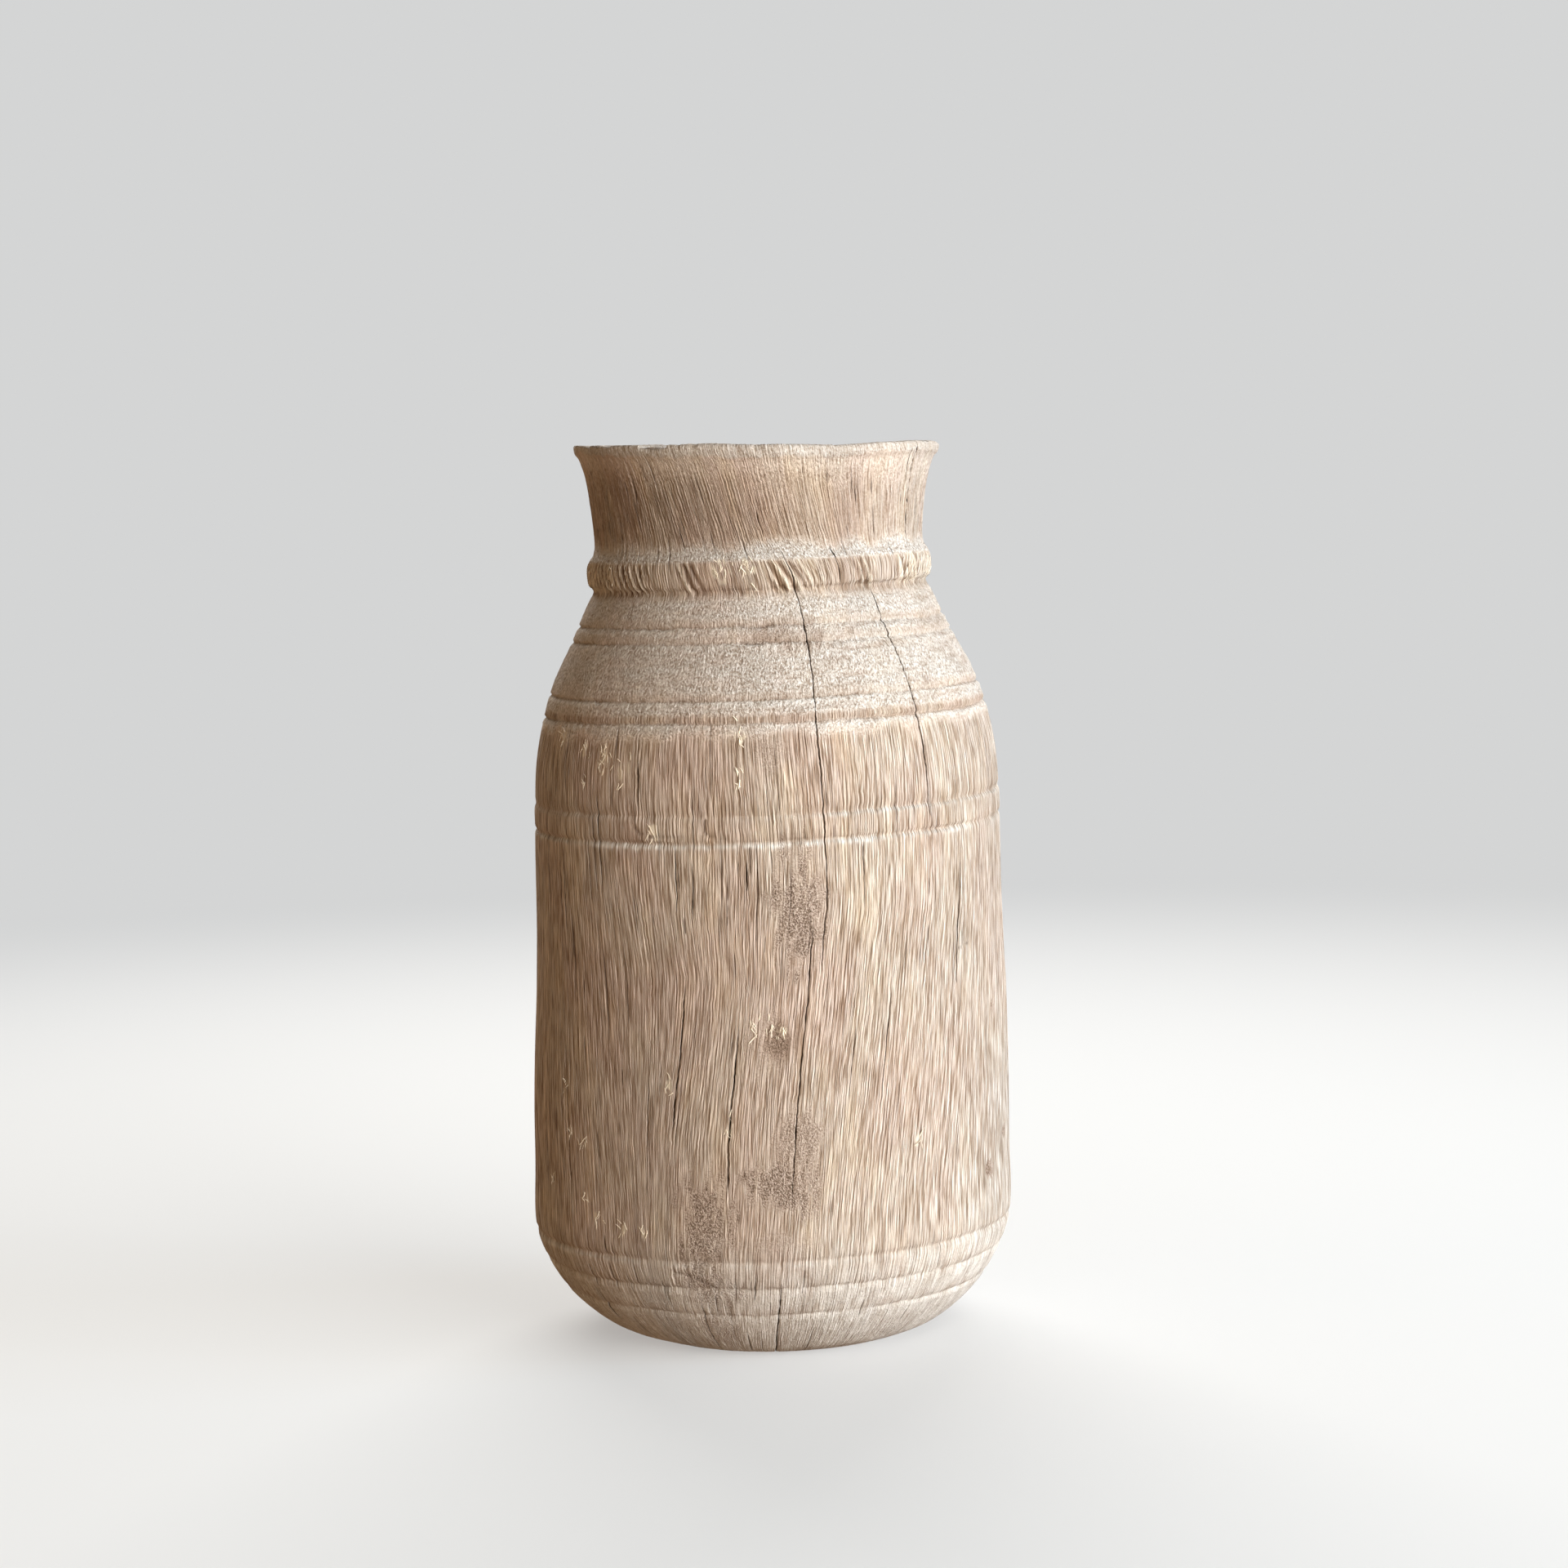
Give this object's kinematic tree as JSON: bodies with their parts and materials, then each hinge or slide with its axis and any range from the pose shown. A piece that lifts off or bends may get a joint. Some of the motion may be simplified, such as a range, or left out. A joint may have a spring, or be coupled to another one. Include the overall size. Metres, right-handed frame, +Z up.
{
  "type": "turned wooden pot",
  "caption": "Hand-turned wooden pot or vase: flared rim, concave neck, bead, sloping grooved shoulder, straight body, rounded foot and a let-in bottom disc.",
  "frame": {"origin": "centre of the foot, on the surface that the pot stands on", "axes": "+Z up along the turning axis; +X to the side where the rim is lower; -Y towards the main drying crack"},
  "size_m": [0.163, 0.163, 0.3],
  "materials": {
    "weathered_wood": "raw, bleached and wire-brushed, no varnish",
    "base_wood": "raw, sawn and scraped"
  },
  "bodies": {
    "root": {"turned_body": "weathered_wood", "base_disc": "base_wood"}
  },
  "joints": []
}
